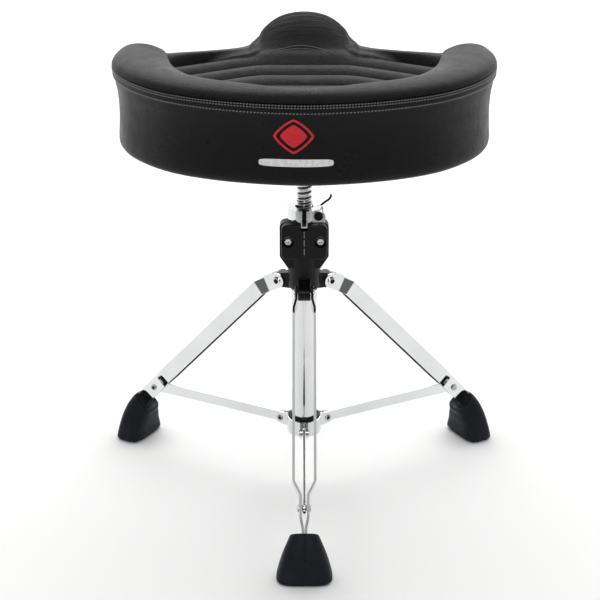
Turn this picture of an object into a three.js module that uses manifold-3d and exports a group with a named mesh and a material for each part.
// Drum throne: a saddle seat on a threaded rod over a folding, double-braced tripod.
// Millimetres, +Z up. The origin is on the floor under the middle of the whole throne, and the seat's
// pommel points along +Y.
import * as THREE from 'three';
import { mergeVertices } from 'three/addons/utils/BufferGeometryUtils.js';
import Module from 'manifold-3d';

const wasm = await Module();
wasm.setup();

// ---------- driving dimensions ----------
const POST_Y = 42.7;          // the post stands behind the middle of the whole outline
const GAP = 0.3;              // between pieces that touch on the real throne
const DEG = Math.PI / 180;

// tripod, in each leg's own frame: r outwards from the post axis, t sideways, z up
const PIVOT = { r: 31.2, z: 254.3 };
const LEG_BEND = { r: 55, z: 241.6 };
const BRACE_BOLT = { r: 212.5, z: 72.5 };
const HUB_PIN = { r: 30.5, z: 74.6 };
const LEG_AZIMUTHS = { front: -90, right: 30, left: 150 };
const STRAP_WIDTH = 18;
const STRAP_THICKNESS = 3;
const STRAP_T_TOP = 9.2;      // middle of a strap beside the head's tongue
const STRAP_T_MIDDLE = 12;    // and after the joggle
const STRAP_T_FOOT = 4.25;    // and where the two straps come together
const STRAP_PAST_BOLT = 38;   // length from the brace bolt to the end inside the foot
const STRAP_END_HALF = 7;     // half the width there
const PIVOT_SHAFT = 3;        // radius of the rivet at the top of a leg
const BOLT_SHAFT = 2.5;       // and of the brace bolt and the hub pin
const TONGUE_END_RADIUS = 8.6;
const BRACE_EYE_RADIUS = 6.3;
const BRACE_HALF_THICKNESS = 1.5;
const BUSH_RADIUS = 3.4;

// post and head
const POST_RADIUS = 15;
const POST_WALL = 1.6;
const POST_BOTTOM = 66;
const POST_TOP = 299;
const HEAD_BOTTOM = 293;
const HEAD_TOP = 335;
const HEAD_HALF_WIDTH = 28.3;
const HEAD_FRONT = -25;
const HEAD_BACK = 24;
const HEAD_PARTING = -14;
const HEAD_BACK_SLOPE = 0.46;  // fall of the shoulders behind the boss
const HEAD_BOSS_RADIUS = 20;
const CLAMP_INSET = 1.9;       // how much narrower the clamp plate is than the shell behind it
const NECK_RADIUS = 18.6;
const NECK_BOTTOM = 247;
const TONGUE_HALF = 7.2;
const SCREW_X = 18.6;
const SCREW_Z = 315;
const SCREW_SHAFT = 2.9;
const SCREW_HEAD_DEPTH = 4;   // of the round recess around each screw's head
const NUT_POCKET_Y = 12;      // floor of the hexagon nut's recess at the back

// rod and its nut
const ROD_RADIUS = 9.5;
const ROD_BOTTOM = 194;
const ROD_TOP = 414;
const NUT_BOTTOM = 300;
const NUT_TOP = 324;
const NUT_RADIUS = 13.6;

// hub
const HUB_BOTTOM = 64;
const HUB_TOP = 88;
const HUB_RADIUS = 20.4;
const HUB_BUSH_TOP = 97;
const HUB_BUSH_WALL = 2.5;
const EAR_INNER = 2.1;        // the two faces of an ear, from the leg's plane
const EAR_OUTER = 4.8;
const EAR_RADIUS = 6.6;

// memory-lock collar
const COLLAR_BOTTOM = HEAD_TOP + 0.4;
const COLLAR_HEIGHT = 14.6;
const COLLAR_RADIUS = 20;
const LUG_BACK = 2.4;          // rear face of the lug, where the lever's hub bears
const LEVER_HUB_RADIUS = 4.9;
const LOCK_BOLT = { x: 16.2, z: COLLAR_BOTTOM + 8.4 };

// seat
const SEAT_BOTTOM = 422.6;
const BOARD_BOTTOM = 425.2;
const BOARD_THICKNESS = 12;
const BASIN_Z = 497;
const RIM_WELT_Z = 518;
const FRONT_WELT_Z = 499;
const RIM_CREST_Z = 530;
const POMMEL_Z = 539;
const COVER_THICKNESS = 1.6;
const FOAM_DROP = 9;          // the foam's crown below the cover's top

// bracket under the seat
const SOCKET_BOTTOM = 384;
const SOCKET_RADIUS = 16;
const PLATE_BOTTOM = 418.4;
const PLATE_THICKNESS = 5;
const PLATE_HALF = { x: 58, y: 42 };
const PLATE_BOLTS = [[-46, -30], [46, -30], [46, 30], [-46, 30]];
const PLATE_BOLT_SHAFT = 3;
const CLAMP_Z = 396;
const CLAMP_SHAFT = 4;

// ---------- materials ----------
const material = (color, roughness, metalness) => new THREE.MeshStandardMaterial({ color, roughness, metalness });
const CHROME = material(0xdfe2e4, 0.08, 1);
const ZINC = material(0xb4b7b8, 0.35, 1);
const BLACK_CASTING = material(0x17181a, 0.45, 0.3);
const BLACK_PLASTIC = material(0x1b1c1e, 0.5, 0);
const RUBBER = material(0x16181b, 0.8, 0);
const VINYL = material(0x1c1d1e, 0.55, 0);
const FOAM = material(0xd8cfae, 0.95, 0);
const PLYWOOD = material(0xb58d5c, 0.7, 0);

// ---------- geometry helpers ----------
// One closed solid for manifold-3d from a three.js geometry.
function solid(geometry) {
  const bare = geometry.clone();
  bare.deleteAttribute('normal');
  bare.deleteAttribute('uv');
  const merged = mergeVertices(bare, 1e-4);
  const vertProperties = new Float32Array(merged.attributes.position.array);
  const triVerts = new Uint32Array(merged.index.array);
  return new wasm.Manifold(new wasm.Mesh({ numProp: 3, vertProperties, triVerts }));
}

function geometryOf(manifold) {
  const mesh = manifold.getMesh();
  const geometry = new THREE.BufferGeometry();
  geometry.setAttribute('position', new THREE.BufferAttribute(new Float32Array(mesh.vertProperties), 3));
  geometry.setIndex(new THREE.BufferAttribute(new Uint32Array(mesh.triVerts), 1));
  return geometry;
}

// Joins the first list and cuts the second list from it.
function carve(adds, cuts = []) {
  let result = solid(adds[0]);
  for (const geometry of adds.slice(1)) result = result.add(solid(geometry));
  for (const geometry of cuts) result = result.subtract(solid(geometry));
  return geometryOf(result);
}

// A round piece on the Z axis from a closed profile of [radius, z] points.
function turned(profile, segments = 24) {
  const closed = [...profile, profile[0]].map(([radius, z]) => new THREE.Vector2(radius, z));
  return new THREE.LatheGeometry(closed, segments).rotateX(Math.PI / 2);
}

const ring = (inner, outer, bottom, top, segments) =>
  turned([[inner, bottom], [outer, bottom], [outer, top], [inner, top]], segments);

const rod = (radius, bottom, top, segments = 20) =>
  new THREE.CylinderGeometry(radius, radius, top - bottom, segments).rotateX(Math.PI / 2)
    .translate(0, 0, (top + bottom) / 2);

// A cylinder along Y through (x, z), between two values of y.
const crossRod = (radius, x, z, y0, y1, segments = 12) =>
  new THREE.CylinderGeometry(radius, radius, y1 - y0, segments).translate(x, (y0 + y1) / 2, z);

const block = (x0, x1, y0, y1, z0, z1) =>
  new THREE.BoxGeometry(x1 - x0, y1 - y0, z1 - z0).translate((x0 + x1) / 2, (y0 + y1) / 2, (z0 + z1) / 2);

// An outline in the X-Z plane, thick along Y from y0 to y1.
function plateXZ(shape, y0, y1, curveSegments = 5) {
  const geometry = new THREE.ExtrudeGeometry(shape, { depth: y1 - y0, bevelEnabled: false, curveSegments });
  return geometry.rotateX(Math.PI / 2).translate(0, y1, 0);
}

// An outline in the X-Y plane, thick along Z.
function plateXY(shape, z0, z1, curveSegments = 5) {
  return new THREE.ExtrudeGeometry(shape, { depth: z1 - z0, bevelEnabled: false, curveSegments })
    .translate(0, 0, z0);
}

const shapeOf = (points) => new THREE.Shape(points.map(([x, y]) => new THREE.Vector2(x, y)));

// A closed solid through a row of sections that each have the same number of points.
function loft(sections) {
  const count = sections[0].length;
  const positions = sections.flat().flatMap((p) => [p.x, p.y, p.z]);
  const index = [];
  for (let s = 0; s + 1 < sections.length; s += 1) {
    for (let i = 0; i < count; i += 1) {
      const j = (i + 1) % count;
      const a = s * count + i;
      const b = s * count + j;
      index.push(a, b, b + count, a, b + count, a + count);
    }
  }
  const last = (sections.length - 1) * count;
  for (let i = 1; i + 1 < count; i += 1) {
    index.push(0, i + 1, i);
    index.push(last, last + i, last + i + 1);
  }
  const geometry = new THREE.BufferGeometry();
  geometry.setAttribute('position', new THREE.Float32BufferAttribute(positions, 3));
  geometry.setIndex(index);
  return geometry;
}

// A flat bar between two points of the X-Z plane with round ends and a hole at each.
function roundEndedBar(from, to, radius, fromHole, toHole, halfThickness) {
  const angle = Math.atan2(to.z - from.z, to.r - from.r);
  const shape = new THREE.Shape();
  shape.absarc(to.r, to.z, radius, angle - Math.PI / 2, angle + Math.PI / 2, false);
  shape.absarc(from.r, from.z, radius, angle + Math.PI / 2, angle + 1.5 * Math.PI, false);
  for (const [end, hole] of [[from, fromHole], [to, toHole]]) {
    const path = new THREE.Path();
    path.absarc(end.r, end.z, hole, 0, 2 * Math.PI, true);
    shape.holes.push(path);
  }
  return plateXZ(shape, -halfThickness, halfThickness);
}

// ---------- the scene graph ----------
const throne = new THREE.Group();
const post = new THREE.Group();
post.position.set(0, POST_Y, 0);
throne.add(post);

function place(name, geometry, finish, group = post) {
  const mesh = new THREE.Mesh(geometry, finish);
  mesh.name = name;
  group.add(mesh);
}

// ---------- tripod head ----------
function headScrewHoles(radius, y0, y1) {
  return [-SCREW_X, SCREW_X].map((x) => crossRod(radius, x, SCREW_Z, y0, y1));
}

function roundedRect(halfWidth, bottom, top, radius) {
  const shape = new THREE.Shape();
  shape.moveTo(-halfWidth, bottom);
  shape.lineTo(halfWidth, bottom);
  shape.lineTo(halfWidth, top - radius);
  shape.absarc(halfWidth - radius, top - radius, radius, 0, Math.PI / 2, false);
  shape.absarc(radius - halfWidth, top - radius, radius, Math.PI / 2, Math.PI, false);
  return shape;
}

function roundedPlate(halfWidth, bottom, top, radius) {
  const shape = new THREE.Shape();
  shape.absarc(halfWidth - radius, bottom + radius, radius, -Math.PI / 2, 0, false);
  shape.absarc(halfWidth - radius, top - radius, radius, 0, Math.PI / 2, false);
  shape.absarc(radius - halfWidth, top - radius, radius, Math.PI / 2, Math.PI, false);
  shape.absarc(radius - halfWidth, bottom + radius, radius, Math.PI, 1.5 * Math.PI, false);
  return shape;
}

const rodBore = rod(ROD_RADIUS + 0.6, NUT_TOP - 1, HEAD_TOP + 1);
const nutPocket = rod(NUT_RADIUS + GAP, NUT_BOTTOM - GAP, NUT_TOP + GAP, 24);
const postBore = rod(POST_RADIUS + GAP, NECK_BOTTOM - 1, POST_TOP + 2, 24);

function headRear() {
  const shoulder = 15;
  const body = plateXZ(roundedRect(HEAD_HALF_WIDTH, HEAD_BOTTOM, HEAD_TOP, 5.5), HEAD_PARTING, HEAD_BACK);
  const slope = block(-50, 50, 0, 60, 0, 40).rotateX(-Math.atan(HEAD_BACK_SLOPE)).translate(0, 0, HEAD_TOP);
  const boss = carve(
    [rod(HEAD_BOSS_RADIUS, HEAD_BOTTOM, HEAD_TOP)],
    [block(-30, 30, -30, HEAD_PARTING, HEAD_BOTTOM - 1, HEAD_TOP + 1)],
  );
  const taper = shapeOf([
    [-HEAD_HALF_WIDTH, HEAD_BOTTOM + 1], [-NECK_RADIUS, HEAD_BOTTOM - shoulder],
    [NECK_RADIUS, HEAD_BOTTOM - shoulder], [HEAD_HALF_WIDTH, HEAD_BOTTOM + 1],
  ]);
  const neck = turned([
    [0, NECK_BOTTOM], [NECK_RADIUS - 4, NECK_BOTTOM], [NECK_RADIUS, NECK_BOTTOM + 5],
    [NECK_RADIUS, HEAD_BOTTOM - 0.2], [0, HEAD_BOTTOM - 0.2],
  ]);
  const tongues = Object.values(LEG_AZIMUTHS).map((azimuth) => {
    const shape = new THREE.Shape();
    shape.absarc(PIVOT.r, PIVOT.z, TONGUE_END_RADIUS, -Math.PI / 2, Math.PI / 2, false);
    shape.lineTo(POST_RADIUS + 1, PIVOT.z + 11);
    shape.lineTo(POST_RADIUS + 1, PIVOT.z - 7);
    return plateXZ(shape, -TONGUE_HALF, TONGUE_HALF).rotateZ(azimuth * DEG);
  });
  const pivotHoles = Object.values(LEG_AZIMUTHS).map((azimuth) =>
    crossRod(PIVOT_SHAFT + GAP, PIVOT.r, PIVOT.z, -20, 20).rotateZ(azimuth * DEG));
  return carve(
    [carve([body], [slope]), boss, plateXZ(taper, HEAD_PARTING, HEAD_BACK - 4), neck, ...tongues],
    [rodBore, nutPocket, postBore, ...pivotHoles, ...headScrewHoles(SCREW_SHAFT + GAP, -30, NUT_POCKET_Y),
      ...headScrewHoles(6, NUT_POCKET_Y, 30)],
  );
}

function headFront() {
  const bevel = 1.4;
  const wide = HEAD_HALF_WIDTH - CLAMP_INSET;
  const geometry = new THREE.ExtrudeGeometry(
    roundedPlate(wide - bevel, HEAD_BOTTOM + bevel, HEAD_TOP - bevel, 5),
    { depth: 1, bevelEnabled: true, bevelSize: bevel, bevelThickness: bevel, bevelSegments: 2, curveSegments: 6 },
  );
  const face = geometry.rotateX(Math.PI / 2).translate(0, HEAD_FRONT + bevel + 1, 0);
  const outer = roundedPlate(wide, HEAD_BOTTOM, HEAD_TOP, 5 + bevel);
  const backing = plateXZ(outer, HEAD_FRONT + bevel + 0.5, HEAD_PARTING - GAP, 6);
  return carve(
    [backing, face],
    [rodBore, nutPocket, postBore, ...headScrewHoles(SCREW_SHAFT + GAP, -30, 0),
      ...headScrewHoles(7.2, -30, HEAD_FRONT + SCREW_HEAD_DEPTH),
      block(-4, 4, HEAD_FRONT - 1, HEAD_PARTING + 1, HEAD_TOP - 6, HEAD_TOP + 1)],
  );
}

function headScrew(x) {
  const shaft = crossRod(SCREW_SHAFT, x, SCREW_Z, HEAD_FRONT + SCREW_HEAD_DEPTH - 1, NUT_POCKET_Y + 7);
  const hexagon = crossRod(5, x, SCREW_Z, HEAD_FRONT + GAP, HEAD_FRONT + SCREW_HEAD_DEPTH - GAP, 6);
  return carve([shaft, hexagon], [crossRod(2.2, x, SCREW_Z, HEAD_FRONT, HEAD_FRONT + 2, 4)]);
}

const headNut = (x) => carve(
  [crossRod(5.4, x, SCREW_Z, NUT_POCKET_Y + GAP, NUT_POCKET_Y + 5, 6)],
  [crossRod(SCREW_SHAFT + GAP, x, SCREW_Z, NUT_POCKET_Y - 2, NUT_POCKET_Y + 8)],
);

place('head_rear_casting', headRear(), BLACK_CASTING);
place('head_front_clamp', headFront(), BLACK_CASTING);
for (const [side, x] of [['left', -SCREW_X], ['right', SCREW_X]]) {
  place(`head_screw_${side}`, headScrew(x), CHROME);
  place(`head_nut_${side}`, headNut(x), ZINC);
}
place('rod_nut', ring(ROD_RADIUS + 0.4, NUT_RADIUS, NUT_BOTTOM, NUT_TOP, 20), ZINC);
place('post_tube', ring(POST_RADIUS - POST_WALL, POST_RADIUS, POST_BOTTOM, POST_TOP), CHROME);

// ---------- height rod ----------
function heightRod() {
  const chamfer = 1.5;
  return carve([turned([
    [0, ROD_BOTTOM], [ROD_RADIUS - chamfer, ROD_BOTTOM], [ROD_RADIUS, ROD_BOTTOM + chamfer],
    [ROD_RADIUS, ROD_TOP - chamfer], [ROD_RADIUS - chamfer, ROD_TOP], [0, ROD_TOP],
  ])], [rod(3.3, ROD_BOTTOM - 1, ROD_BOTTOM + 16)]);
}

place('threaded_rod', heightRod(), CHROME);
place('rod_guide_bush', ring(ROD_RADIUS + GAP, POST_RADIUS - POST_WALL - GAP, 200, 216), BLACK_PLASTIC);
place('rod_end_screw', carve([
  rod(11.5, ROD_BOTTOM - 5, ROD_BOTTOM - GAP, 24), rod(3, ROD_BOTTOM - 3, ROD_BOTTOM + 14, 16),
]), ZINC);

// ---------- memory lock ----------
function lockCollar() {
  const top = COLLAR_BOTTOM + COLLAR_HEIGHT;
  const body = rod(COLLAR_RADIUS, COLLAR_BOTTOM, top, 32);
  const lug = block(4, 24.5, -17.5, LUG_BACK, COLLAR_BOTTOM, top - 1.5);
  const key = block(-3.6, 3.6, -COLLAR_RADIUS - 2.4, HEAD_PARTING - 1, COLLAR_BOTTOM - 4.6, COLLAR_BOTTOM + 3);
  return carve([body, lug, key], [
    rod(ROD_RADIUS + 0.5, COLLAR_BOTTOM - 6, top + 1),
    block(-2.4, 2.4, -30, -9, COLLAR_BOTTOM - 2.6, top + 1),
    crossRod(3.2, LOCK_BOLT.x, LOCK_BOLT.z, -30, 30),
    crossRod(5.4, LOCK_BOLT.x, LOCK_BOLT.z, -30, -15),
    block(LOCK_BOLT.x - LEVER_HUB_RADIUS - GAP, 40, LUG_BACK, 40, COLLAR_BOTTOM - 1, top + 1),
  ]);
}

function lockLever() {
  const stem = crossRod(3, LOCK_BOLT.x, LOCK_BOLT.z, -14, LUG_BACK + 3);
  const hub = crossRod(LEVER_HUB_RADIUS, LOCK_BOLT.x, LOCK_BOLT.z, LUG_BACK + GAP, LUG_BACK + 6.3, 20);
  const armY = LUG_BACK + 3.3;
  const curve = new THREE.CatmullRomCurve3([
    new THREE.Vector3(LOCK_BOLT.x, armY, LOCK_BOLT.z),
    new THREE.Vector3(LOCK_BOLT.x + 3, armY, LOCK_BOLT.z + 4.5),
    new THREE.Vector3(LOCK_BOLT.x + 12.4, armY, LOCK_BOLT.z + 12.3),
    new THREE.Vector3(LOCK_BOLT.x + 14.5, armY, LOCK_BOLT.z + 18),
  ]);
  const section = new THREE.Shape();
  section.absarc(0, 0, 1.5, 0, 2 * Math.PI, false);
  const bar = new THREE.ExtrudeGeometry(section, { extrudePath: curve, steps: 6, curveSegments: 4 });
  return carve([stem, hub, bar]);
}

place('lock_collar', lockCollar(), CHROME);
place('lock_bolt_cap', crossRod(5, LOCK_BOLT.x, LOCK_BOLT.z, -18.2, -15 - GAP), BLACK_PLASTIC);
place('lock_lever', lockLever(), BLACK_CASTING);

// ---------- sliding hub ----------
function hubRing() {
  const body = ring(POST_RADIUS + HUB_BUSH_WALL, HUB_RADIUS, HUB_BOTTOM, HUB_TOP, 30);
  const ears = [];
  const holes = [];
  for (const azimuth of Object.values(LEG_AZIMUTHS)) {
    for (const side of [-1, 1]) {
      const shape = new THREE.Shape();
      shape.absarc(HUB_PIN.r, HUB_PIN.z, EAR_RADIUS, -Math.PI / 2, Math.PI / 2, false);
      shape.lineTo(HUB_RADIUS - 1.6, HUB_PIN.z + 8);
      shape.lineTo(HUB_RADIUS - 1.6, HUB_PIN.z - 8);
      const middle = side * (EAR_INNER + EAR_OUTER) / 2;
      const half = (EAR_OUTER - EAR_INNER) / 2;
      ears.push(plateXZ(shape, middle - half, middle + half).rotateZ(azimuth * DEG));
    }
    holes.push(crossRod(BOLT_SHAFT + GAP, HUB_PIN.r, HUB_PIN.z, -10, 10).rotateZ(azimuth * DEG));
  }
  return carve([body, ...ears], holes);
}

const hubBush = turned([
  [POST_RADIUS + GAP, HUB_BOTTOM + 1], [POST_RADIUS + HUB_BUSH_WALL - GAP, HUB_BOTTOM + 1],
  [POST_RADIUS + HUB_BUSH_WALL - GAP, HUB_TOP + GAP], [HUB_RADIUS - 1.6, HUB_TOP + GAP],
  [HUB_RADIUS - 2.4, HUB_BUSH_TOP], [POST_RADIUS + GAP, HUB_BUSH_TOP],
]);

place('hub_ring', hubRing(), CHROME);
place('hub_bush', hubBush, BLACK_PLASTIC);

// ---------- legs, braces and feet ----------
const legLine = {
  r: BRACE_BOLT.r - LEG_BEND.r,
  z: BRACE_BOLT.z - LEG_BEND.z,
};
const legLength = Math.hypot(legLine.r, legLine.z);
const along = { r: legLine.r / legLength, z: legLine.z / legLength };
const bendDistance = Math.hypot(LEG_BEND.r - PIVOT.r, LEG_BEND.z - PIVOT.z);
const boltDistance = bendDistance + legLength;

// Middle line of a leg in its own plane, by the distance from the pivot, with the direction there.
function legPath(distance) {
  const upper = { r: (LEG_BEND.r - PIVOT.r) / bendDistance, z: (LEG_BEND.z - PIVOT.z) / bendDistance };
  const past = distance - bendDistance;
  const direction = past < 0 ? upper : along;
  return { r: LEG_BEND.r + direction.r * past, z: LEG_BEND.z + direction.z * past, direction };
}

function strapSection(distance, halfWidth, middle) {
  const { r, z, direction } = legPath(distance);
  const half = STRAP_THICKNESS / 2;
  return [[-1, -1], [-1, 1], [1, 1], [1, -1]].map(([across, side]) => new THREE.Vector3(
    r - direction.z * across * halfWidth,
    middle + side * half,
    z + direction.r * across * halfWidth,
  ));
}

function strap(side) {
  const half = STRAP_WIDTH / 2;
  const stations = [12, 35, 60, 90].map((degrees) =>
    [-half * Math.cos(degrees * DEG), half * Math.sin(degrees * DEG), STRAP_T_TOP]);
  stations.push(
    [14, half, STRAP_T_TOP],
    [bendDistance - 2, half, STRAP_T_MIDDLE - 0.4],
    [bendDistance + 2, half, STRAP_T_MIDDLE],
    [boltDistance - 30, half, STRAP_T_MIDDLE],
    [boltDistance - 14, half, STRAP_T_FOOT],
    [boltDistance + 9, half, STRAP_T_FOOT],
    [boltDistance + STRAP_PAST_BOLT, STRAP_END_HALF, STRAP_T_FOOT],
  );
  const bar = loft(stations.map(([distance, halfWidth, middle]) =>
    strapSection(distance, halfWidth, side * middle)));
  const holes = [
    crossRod(PIVOT_SHAFT + GAP, PIVOT.r, PIVOT.z, -20, 20),
    crossRod(BOLT_SHAFT + GAP, BRACE_BOLT.r, BRACE_BOLT.z, -20, 20),
  ];
  return carve([bar], holes);
}

// The foot's sections from the sole up: outer and inner point of each in the leg's plane, half width.
const FOOT_SECTIONS = [
  { outer: [259.0, 0], inner: [229.5, 0], half: 29.0 },
  { outer: [260.4, 2.4], inner: [211.5, 14.6], half: 31.0 },
  { outer: [258.2, 16.0], inner: [213.2, 21.0], half: 29.6 },
  { outer: [254.6, 31.0], inner: [216.2, 26.5], half: 25.0 },
  { outer: [249.0, 44.5], inner: [219.4, 32.5], half: 19.0 },
  { outer: [243.6, 53.4], inner: [222.0, 37.4], half: 15.6 },
  { outer: [240.6, 56.0], inner: [224.0, 40.2], half: 13.4 },
];

function footSection({ outer, inner, half }) {
  const count = 20;
  const squareness = 2.6;
  const radius = Math.hypot(outer[0] - inner[0], outer[1] - inner[1]) / 2;
  const direction = [(outer[0] - inner[0]) / (2 * radius), (outer[1] - inner[1]) / (2 * radius)];
  const power = (value) => Math.sign(value) * Math.abs(value) ** (2 / squareness);
  return Array.from({ length: count }, (_, i) => {
    const angle = (i / count) * 2 * Math.PI;
    const reach = radius * power(Math.cos(angle));
    return new THREE.Vector3(
      (outer[0] + inner[0]) / 2 + direction[0] * reach,
      half * power(Math.sin(angle)),
      (outer[1] + inner[1]) / 2 + direction[1] * reach,
    );
  });
}

function foot() {
  const pocketLength = 60;
  const pocketHalf = STRAP_T_FOOT + STRAP_THICKNESS / 2 + GAP;
  const middle = legPath(boltDistance + STRAP_PAST_BOLT + GAP - pocketLength / 2);
  const pocket = new THREE.BoxGeometry(pocketLength, 2 * pocketHalf, 2 * STRAP_END_HALF + 1.6)
    .rotateY(Math.atan2(-along.z, along.r))
    .translate(middle.r, 0, middle.z);
  return carve([loft(FOOT_SECTIONS.map(footSection))], [pocket]);
}

function rivet(at, shaftRadius, headRadius, halfLength, headHeight) {
  return carve([
    crossRod(shaftRadius, at.r, at.z, -halfLength - headHeight / 2, halfLength + headHeight / 2),
    crossRod(headRadius, at.r, at.z, -halfLength - headHeight, -halfLength),
    crossRod(headRadius, at.r, at.z, halfLength, halfLength + headHeight),
  ]);
}

function braceBoltHead(side, corners) {
  const inner = STRAP_T_FOOT - STRAP_THICKNESS / 2;
  const outer = STRAP_T_FOOT + STRAP_THICKNESS / 2 + GAP;
  const span = (a, b) => (side > 0 ? [a, b] : [-b, -a]);
  return carve([
    crossRod(BOLT_SHAFT, BRACE_BOLT.r, BRACE_BOLT.z, ...span(inner + 0.2, outer + 1)),
    crossRod(4.6, BRACE_BOLT.r, BRACE_BOLT.z, ...span(outer, outer + 2.2), corners),
  ]);
}

function brace() {
  return roundEndedBar(
    HUB_PIN, BRACE_BOLT, BRACE_EYE_RADIUS, BOLT_SHAFT + GAP, BUSH_RADIUS + GAP, BRACE_HALF_THICKNESS,
  );
}

function braceBush() {
  const half = STRAP_T_FOOT - STRAP_THICKNESS / 2 - GAP;
  return carve(
    [crossRod(BUSH_RADIUS, BRACE_BOLT.r, BRACE_BOLT.z, -half, half)],
    [crossRod(1.8, BRACE_BOLT.r, BRACE_BOLT.z, -10, 10)],
  );
}

for (const [name, azimuth] of Object.entries(LEG_AZIMUTHS)) {
  const leg = new THREE.Group();
  leg.rotation.z = azimuth * DEG;
  post.add(leg);
  place(`leg_${name}_strap_a`, strap(1), CHROME, leg);
  place(`leg_${name}_strap_b`, strap(-1), CHROME, leg);
  place(`leg_${name}_foot`, foot(), RUBBER, leg);
  place(`leg_${name}_brace_bolt`, braceBoltHead(1, 16), CHROME, leg);
  place(`leg_${name}_brace_nut`, braceBoltHead(-1, 6), CHROME, leg);
  const pivotHalf = STRAP_T_TOP + STRAP_THICKNESS / 2 + GAP;
  place(`leg_${name}_pivot_rivet`, rivet(PIVOT, PIVOT_SHAFT, 5, pivotHalf, 1.4), CHROME, leg);
  place(`brace_${name}`, brace(), CHROME, leg);
  place(`brace_${name}_bush`, braceBush(), BLACK_PLASTIC, leg);
  place(`hub_pin_${name}`, rivet(HUB_PIN, BOLT_SHAFT, 4.2, EAR_OUTER + GAP, 1.2), CHROME, leg);
}

// ---------- seat ----------
const SEAT_CENTRE = new THREE.Vector2(0, 12);
const OUTLINE_COUNT = 44;

// Half of the seat's outline at the seam, from the middle of the back round to the tip of the pommel.
const HALF_OUTLINE = [
  [0, -149], [62, -141], [112, -125], [152, -103], [182, -74], [203, -41], [214, -6], [215, 24],
  [207, 52], [191, 76], [166, 94], [120, 108], [80, 124], [63, 142], [55, 160], [36, 171], [0, 175],
];

function outlinePoints() {
  const mirrored = HALF_OUTLINE.slice(1, -1).reverse().map(([x, y]) => [-x, y]);
  const loop = [...HALF_OUTLINE, ...mirrored].map(([x, y]) => new THREE.Vector3(x, y, 0));
  const curve = new THREE.CatmullRomCurve3(loop, true, 'centripetal');
  return curve.getSpacedPoints(OUTLINE_COUNT).slice(0, -1).map((p) => new THREE.Vector2(p.x, p.y));
}

const smooth = (low, high, value) => THREE.MathUtils.smoothstep(value, low, high);

// 1 along the back and the sides, 0 along the front edge.
const rimShare = (edge) => 1 - smooth(46, 100, edge.y);

function pommelHeight(x, y) {
  const half = 63;
  const across = Math.sqrt(Math.max(0, 1 - (x / half) ** 2));
  const lengthways = smooth(84, 148, y) * (1 - 0.16 * smooth(152, 178, y));
  return (POMMEL_Z - BASIN_Z) * across * lengthways;
}

// Height of the seat's top above a point that lies a share of the way out to an edge point.
function topHeight(edge, share) {
  const at = SEAT_CENTRE.clone().lerp(edge, share);
  const inset = edge.distanceTo(SEAT_CENTRE) * (1 - share);
  const rim = rimShare(edge);
  const sideways = smooth(60, 200, Math.abs(edge.x));
  const crestInset = 24 + 9 * sideways;
  const rimInset = 2.15 * crestInset;
  const rise = Math.min(inset / crestInset, 1);
  const bank = RIM_WELT_Z + (RIM_CREST_Z - RIM_WELT_Z) * Math.sin(rise * Math.PI / 2);
  const fall = smooth(crestInset * 0.8, rimInset, inset);
  const rimZ = THREE.MathUtils.lerp(bank, BASIN_Z, fall);
  const lip = 7 * Math.exp(-(((inset - 9) / 16) ** 2));
  const frontZ = THREE.MathUtils.lerp(FRONT_WELT_Z, BASIN_Z, smooth(0, 30, inset)) + lip;
  const edgeFade = smooth(0, 26, inset) * 0.86 + 0.14;
  return THREE.MathUtils.lerp(frontZ, rimZ, rim) + pommelHeight(at.x, at.y) * edgeFade;
}

// The seat's skin, one row of points for each share of the top and then each step down the wall.
const TOP_SHARES = [0.25, 0.48, 0.62, 0.72, 0.8, 0.86, 0.91, 0.95, 0.98, 1];
const WALL_STEPS = [
  { inset: 0.6, down: 0.08 }, { inset: 0.9, down: 0.089 }, { inset: 3.6, down: 0.2 },
  { inset: 6.5, down: 0.45 },
  { inset: 5.6, down: 0.88 }, { inset: 9, down: 0.97 }, { inset: 16, down: 1 }, { inset: 34, down: 1 },
];

function skinRows() {
  const outline = outlinePoints();
  const weltZ = (edge) => THREE.MathUtils.lerp(FRONT_WELT_Z + 1, RIM_WELT_Z, rimShare(edge));
  const rows = TOP_SHARES.map((share) => outline.map((edge) => {
    const at = SEAT_CENTRE.clone().lerp(edge, share);
    return new THREE.Vector3(at.x, at.y, topHeight(edge, share));
  }));
  for (const { inset, down } of WALL_STEPS) {
    rows.push(outline.map((edge) => {
      const distance = edge.distanceTo(SEAT_CENTRE);
      const at = SEAT_CENTRE.clone().lerp(edge, 1 - inset / distance);
      return new THREE.Vector3(at.x, at.y, THREE.MathUtils.lerp(weltZ(edge), SEAT_BOTTOM, down));
    }));
  }
  return rows;
}

// The same rows moved inwards along the skin's own normals.
function insetRows(rows, distance) {
  const count = rows[0].length;
  const top = new THREE.Vector3(SEAT_CENTRE.x, SEAT_CENTRE.y, BASIN_Z);
  const positions = [top, ...rows.flat()].flatMap((p) => [p.x, p.y, p.z]);
  const index = [];
  for (let i = 0; i < count; i += 1) index.push(0, 1 + i, 1 + ((i + 1) % count));
  for (let row = 0; row + 1 < rows.length; row += 1) {
    for (let i = 0; i < count; i += 1) {
      const a = 1 + row * count + i;
      const b = 1 + row * count + ((i + 1) % count);
      index.push(a, a + count, b + count, a, b + count, b);
    }
  }
  const geometry = new THREE.BufferGeometry();
  geometry.setAttribute('position', new THREE.Float32BufferAttribute(positions, 3));
  geometry.setIndex(index);
  geometry.computeVertexNormals();
  const normals = geometry.attributes.normal;
  return rows.map((row, r) => row.map((point, i) => {
    const normal = new THREE.Vector3().fromBufferAttribute(normals, 1 + r * count + i);
    return point.clone().addScaledVector(normal, -distance);
  }));
}

const skin = skinRows();
const lining = insetRows(skin, COVER_THICKNESS);
const SEAM_ROW = TOP_SHARES.length + 1;

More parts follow.
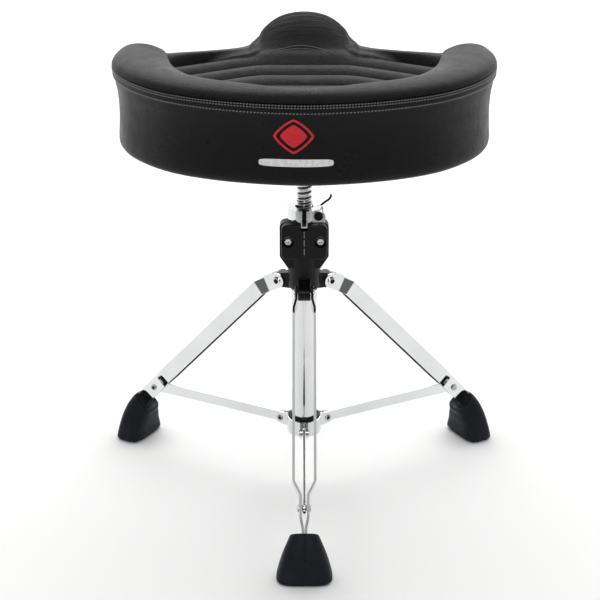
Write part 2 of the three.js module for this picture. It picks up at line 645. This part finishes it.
// The top cover: a closed sheet from the middle of the seat to the seam.
function seatCover() {
  const outside = skin.slice(0, SEAM_ROW);
  const inside = lining.slice(0, SEAM_ROW);
  return loft([...inside, ...outside.reverse()]);
}

// The side band: a closed ring from the seam down the wall and in under the board.
function seatBand() {
  const outside = skin.slice(SEAM_ROW);
  const inside = lining.slice(SEAM_ROW);
  const rows = [...outside, ...inside.reverse()];
  const count = rows[0].length;
  const index = [];
  for (let row = 0; row < rows.length; row += 1) {
    for (let i = 0; i < count; i += 1) {
      const a = row * count + i;
      const b = row * count + ((i + 1) % count);
      const c = ((row + 1) % rows.length) * count + ((i + 1) % count);
      const d = ((row + 1) % rows.length) * count + i;
      index.push(a, d, c, a, c, b);
    }
  }
  const positions = rows.flat().flatMap((p) => [p.x, p.y, p.z]);
  const geometry = new THREE.BufferGeometry();
  geometry.setAttribute('position', new THREE.Float32BufferAttribute(positions, 3));
  geometry.setIndex(index);
  return geometry;
}

const foamBottom = BOARD_BOTTOM + BOARD_THICKNESS + GAP;

function seatFoam() {
  const crown = skin.slice(0, SEAM_ROW - 4).map((row) => row.map((p) => p.clone().setZ(p.z - FOAM_DROP)));
  const wall = insetRows(skin, COVER_THICKNESS + 2.4).slice(SEAM_ROW + 1, SEAM_ROW + 3);
  const rows = [...crown, ...wall];
  const last = rows[rows.length - 1];
  const flat = last.map((p) => new THREE.Vector3(p.x, p.y, foamBottom));
  return loft([...rows, flat].reverse());
}

function boardOutline(inset) {
  return shapeOf(outlinePoints().map((edge) => {
    const at = SEAT_CENTRE.clone().lerp(edge, 1 - inset / edge.distanceTo(SEAT_CENTRE));
    return [at.x, at.y];
  }));
}

function seatBoard() {
  const board = plateXY(boardOutline(17), BOARD_BOTTOM, BOARD_BOTTOM + BOARD_THICKNESS);
  return carve([board], PLATE_BOLTS.map(([x, y]) =>
    rod(PLATE_BOLT_SHAFT + GAP, BOARD_BOTTOM - 1, foamBottom + 1, 16).translate(x, y, 0)));
}

function seatBracket() {
  const plateTop = PLATE_BOTTOM + PLATE_THICKNESS;
  const plate = block(-PLATE_HALF.x, PLATE_HALF.x, -PLATE_HALF.y, PLATE_HALF.y, PLATE_BOTTOM, plateTop);
  const socket = turned([
    [0, SOCKET_BOTTOM], [SOCKET_RADIUS - 1, SOCKET_BOTTOM], [SOCKET_RADIUS, SOCKET_BOTTOM + 1],
    [SOCKET_RADIUS, PLATE_BOTTOM - 6], [SOCKET_RADIUS + 6, PLATE_BOTTOM + 1], [0, PLATE_BOTTOM + 1],
  ]);
  const boss = crossRod(9, 0, CLAMP_Z, 8, 22);
  const ribs = [0, 90].map((angle) => plateXZ(shapeOf([
    [-38, PLATE_BOTTOM + 1], [-SOCKET_RADIUS, PLATE_BOTTOM - 16], [SOCKET_RADIUS, PLATE_BOTTOM - 16],
    [38, PLATE_BOTTOM + 1],
  ]), -3, 3).rotateZ(angle * DEG));
  return carve([plate, socket, boss, ...ribs], [
    rod(ROD_RADIUS + 0.4, SOCKET_BOTTOM - 1, ROD_TOP + GAP),
    crossRod(CLAMP_SHAFT + GAP, 0, CLAMP_Z, 5, 30),
    ...PLATE_BOLTS.map(([x, y]) =>
      rod(PLATE_BOLT_SHAFT + GAP, PLATE_BOTTOM - 1, plateTop + 1, 16).translate(x, y, 0)),
  ]);
}

function plateBolt([x, y]) {
  return carve([
    rod(PLATE_BOLT_SHAFT, PLATE_BOTTOM - 1, foamBottom - 1, 16),
    rod(5.6, PLATE_BOTTOM - 4, PLATE_BOTTOM - GAP, 6),
  ]).translate(x, y, 0);
}

function clampBolt() {
  const wings = shapeOf([
    [-13.5, -5], [-6, -6.5], [6, -6.5], [13.5, -5], [13.5, 5], [6, 6.5], [-6, 6.5], [-13.5, 5],
  ]);
  return carve([
    crossRod(CLAMP_SHAFT, 0, CLAMP_Z, ROD_RADIUS + 1.2, 30),
    crossRod(7, 0, CLAMP_Z, 26, 36),
    plateXZ(wings, 28, 32).translate(0, 0, CLAMP_Z),
  ]);
}

place('seat_cover', seatCover(), VINYL);
place('seat_side_band', seatBand(), VINYL);
place('seat_foam', seatFoam(), FOAM);
place('seat_board', seatBoard(), PLYWOOD);
place('seat_bracket', seatBracket(), BLACK_CASTING);
PLATE_BOLTS.forEach((at, i) => place(`seat_bracket_bolt_${i + 1}`, plateBolt(at), ZINC));
place('seat_clamp_bolt', clampBolt(), ZINC);

export default throne;
